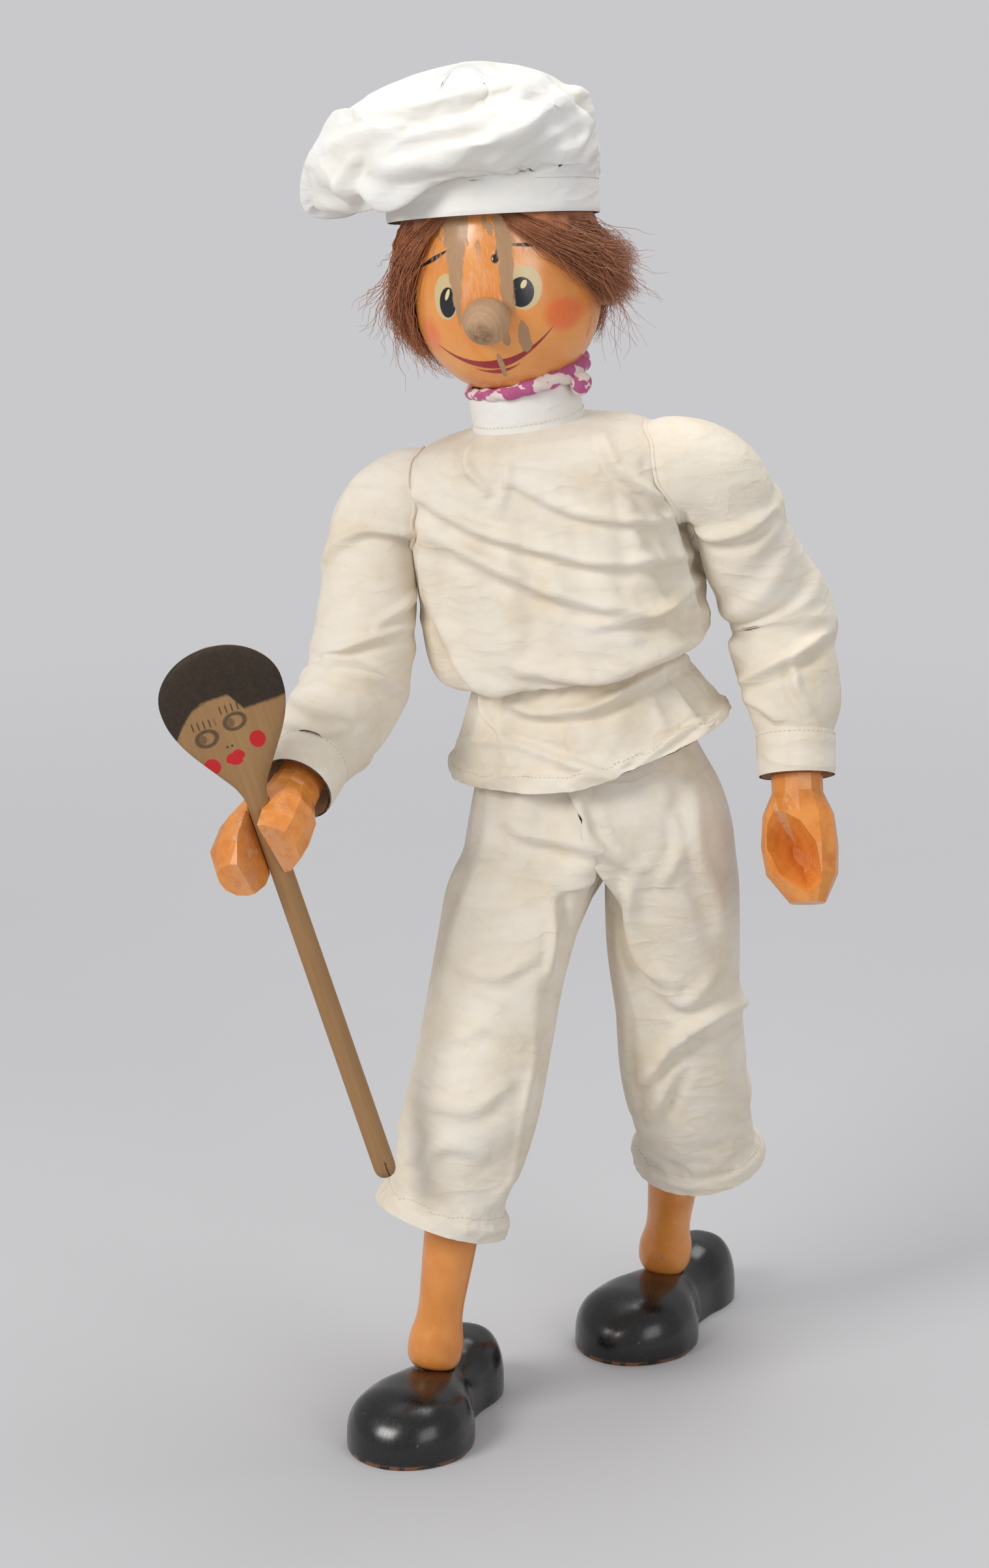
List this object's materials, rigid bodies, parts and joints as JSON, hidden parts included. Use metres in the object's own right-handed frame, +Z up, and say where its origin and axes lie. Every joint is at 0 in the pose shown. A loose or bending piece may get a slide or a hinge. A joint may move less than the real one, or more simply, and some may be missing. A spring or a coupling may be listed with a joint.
{
  "type": "jointed cook doll",
  "caption": "Standing wooden doll dressed as a cook in a soft white hat, jacket and trousers, jointed at neck, shoulders, elbows, wrists, hips, knees and ankles, holding a long wooden spoon.",
  "frame": {"origin": "centre of the bounding box's bottom, on the floor", "axes": "+Z up; the doll faces -Y, so its left side is +X"},
  "size_m": [0.4329, 0.406, 0.9468],
  "materials": {
    "orange_paint": "glossy orange paint, worn to the wood",
    "bare_wood": "satin, unpainted",
    "inner_wood": "plain turned wood",
    "black_paint": "glossy black paint",
    "steel": "plain wire pin",
    "cream_cloth": "woven cotton, stained",
    "white_cloth": "woven cotton",
    "pink_cloth": "printed cotton",
    "hair": "mohair",
    "button": "polished"
  },
  "bodies": {
    "torso": {"hip_block": "inner_wood", "chest_block": "inner_wood", "waist_dowel": "inner_wood", "jacket_body": "cream_cloth", "jacket_collar": "white_cloth", "jacket_skirt": "cream_cloth", "waist_drawstring": "white_cloth", "back_button_1": "button", "back_button_2": "button", "back_button_3": "button", "back_button_4": "button", "neckerchief": "pink_cloth", "neckerchief_knot": "pink_cloth", "trousers_right": "cream_cloth", "trousers_left": "cream_cloth", "sleeve_right": "cream_cloth", "sleeve_left": "cream_cloth"},
    "neck": {"neck_post": "inner_wood"},
    "head": {"head": "orange_paint", "nod_pin": "steel", "nose": "bare_wood", "ear_right": "bare_wood", "ear_left": "bare_wood", "wig": "hair", "hat_band": "white_cloth", "hat_crown": "white_cloth"},
    "shoulder_right": {"shoulder_ball_right": "inner_wood", "shoulder_pin_right": "steel"},
    "upper_arm_right": {"upper_arm_right": "orange_paint", "elbow_pin_right": "steel"},
    "forearm_right": {"forearm_right": "orange_paint", "cuff_right": "cream_cloth"},
    "hand_right": {"hand_right": "orange_paint", "wrist_peg_right": "inner_wood"},
    "spoon": {"wooden_spoon": "bare_wood"},
    "shoulder_left": {"shoulder_ball_left": "inner_wood", "shoulder_pin_left": "steel"},
    "upper_arm_left": {"upper_arm_left": "orange_paint", "elbow_pin_left": "steel"},
    "forearm_left": {"forearm_left": "orange_paint", "cuff_left": "cream_cloth"},
    "hand_left": {"hand_left": "orange_paint", "wrist_peg_left": "inner_wood"},
    "hip_right": {"hip_ball_right": "inner_wood", "hip_pin_right": "steel"},
    "thigh_right": {"thigh_right": "orange_paint", "knee_pin_right": "steel"},
    "shin_right": {"shin_right": "orange_paint"},
    "foot_right": {"shoe_right": "black_paint", "ankle_tang_right": "steel", "ankle_pin_right": "steel"},
    "hip_left": {"hip_ball_left": "inner_wood", "hip_pin_left": "steel"},
    "thigh_left": {"thigh_left": "orange_paint", "knee_pin_left": "steel"},
    "shin_left": {"shin_left": "orange_paint"},
    "foot_left": {"shoe_left": "black_paint", "ankle_tang_left": "steel", "ankle_pin_left": "steel"}
  },
  "joints": [
    {"name": "neck_turn", "type": "hinge", "parent": "torso", "child": "neck", "pos_m": [-0.02737, 0.03706, 0.78438], "axis": [-0.1736, 0, 0.9848], "range_deg": [-60, 60]},
    {"name": "head_nod", "type": "hinge", "parent": "neck", "child": "head", "pos_m": [-0.02737, 0.03706, 0.78438], "axis": [0.9842, 0.0349, 0.1735], "range_deg": [-12, 12]},
    {"name": "shoulder_swing_right", "type": "hinge", "parent": "torso", "child": "shoulder_right", "pos_m": [-0.11279, 0.03706, 0.63529], "axis": [0.9848, 0, 0.1736], "range_deg": [-110, 60], "deforming": ["sleeve_right"]},
    {"name": "shoulder_spread_right", "type": "hinge", "parent": "shoulder_right", "child": "upper_arm_right", "pos_m": [-0.11279, 0.03706, 0.63529], "axis": [0.0765, 0.8975, -0.4342], "range_deg": [-10, 60], "deforming": ["sleeve_right"]},
    {"name": "elbow_right", "type": "hinge", "parent": "upper_arm_right", "child": "forearm_right", "pos_m": [-0.1228, -0.01869, 0.51828], "axis": [-0.9907, 0.1343, 0.0207], "range_deg": [-35, 50], "deforming": ["sleeve_right"]},
    {"name": "wrist_right", "type": "hinge", "parent": "forearm_right", "child": "hand_right", "pos_m": [-0.13786, -0.12251, 0.47116], "axis": [0.131, 0.9028, 0.4097], "range_deg": [-90, 90]},
    {"name": "spoon_slide", "type": "slide", "parent": "hand_right", "child": "spoon", "axis": [-0.295, -0.0736, 0.9527], "range_m": [0, 0.2]},
    {"name": "shoulder_swing_left", "type": "hinge", "parent": "torso", "child": "shoulder_left", "pos_m": [0.10387, 0.03706, 0.67348], "axis": [0.9848, 0, 0.1736], "range_deg": [-140, 45], "deforming": ["sleeve_left"]},
    {"name": "shoulder_spread_left", "type": "hinge", "parent": "shoulder_left", "child": "upper_arm_left", "pos_m": [0.10387, 0.03706, 0.67348], "axis": [0.046, -0.9642, -0.261], "range_deg": [0, 60], "deforming": ["sleeve_left"]},
    {"name": "elbow_left", "type": "hinge", "parent": "upper_arm_left", "child": "forearm_left", "pos_m": [0.16839, 0.06941, 0.56536], "axis": [-0.8044, 0.4921, -0.3328], "range_deg": [-40, 46], "deforming": ["sleeve_left"]},
    {"name": "wrist_left", "type": "hinge", "parent": "forearm_left", "child": "hand_left", "pos_m": [0.18336, 0.02336, 0.46105], "axis": [-0.1302, 0.4005, 0.907], "range_deg": [-90, 90]},
    {"name": "hip_swing_right", "type": "hinge", "parent": "torso", "child": "hip_right", "pos_m": [-0.01782, 0.03706, 0.4134], "axis": [0.9848, 0, 0.1736], "range_deg": [-15, 50], "deforming": ["trousers_right"]},
    {"name": "hip_spread_right", "type": "hinge", "parent": "hip_right", "child": "thigh_right", "pos_m": [-0.01782, 0.03706, 0.4134], "axis": [0.0953, 0.8359, -0.5406], "range_deg": [-8, 35], "deforming": ["trousers_right"]},
    {"name": "knee_right", "type": "hinge", "parent": "thigh_right", "child": "shin_right", "pos_m": [-0.02624, -0.06805, 0.24938], "axis": [0.9849, 0.1182, -0.1263], "range_deg": [-24, 64], "deforming": ["trousers_right"]},
    {"name": "ankle_right", "type": "hinge", "parent": "shin_right", "child": "foot_right", "pos_m": [-0.04812, -0.09124, 0.057], "axis": [0.9914, -0.1305, 0], "range_deg": [-20, 20]},
    {"name": "hip_swing_left", "type": "hinge", "parent": "torso", "child": "hip_left", "pos_m": [0.09051, 0.03706, 0.4325], "axis": [0.9848, 0, 0.1736], "range_deg": [-90, 20], "deforming": ["trousers_left"]},
    {"name": "hip_spread_left", "type": "hinge", "parent": "hip_left", "child": "thigh_left", "pos_m": [0.09051, 0.03706, 0.4325], "axis": [0.0231, -0.9911, -0.1313], "range_deg": [-4, 35], "deforming": ["trousers_left"]},
    {"name": "knee_left", "type": "hinge", "parent": "thigh_left", "child": "shin_left", "pos_m": [0.10023, 0.06286, 0.23946], "axis": [0.7012, 0.7012, 0.129], "range_deg": [-14, 74], "deforming": ["trousers_left"]},
    {"name": "ankle_left", "type": "hinge", "parent": "shin_left", "child": "foot_left", "pos_m": [0.07136, 0.12531, 0.057], "axis": [0.9703, -0.2419, 0], "range_deg": [-20, 20]}
  ]
}
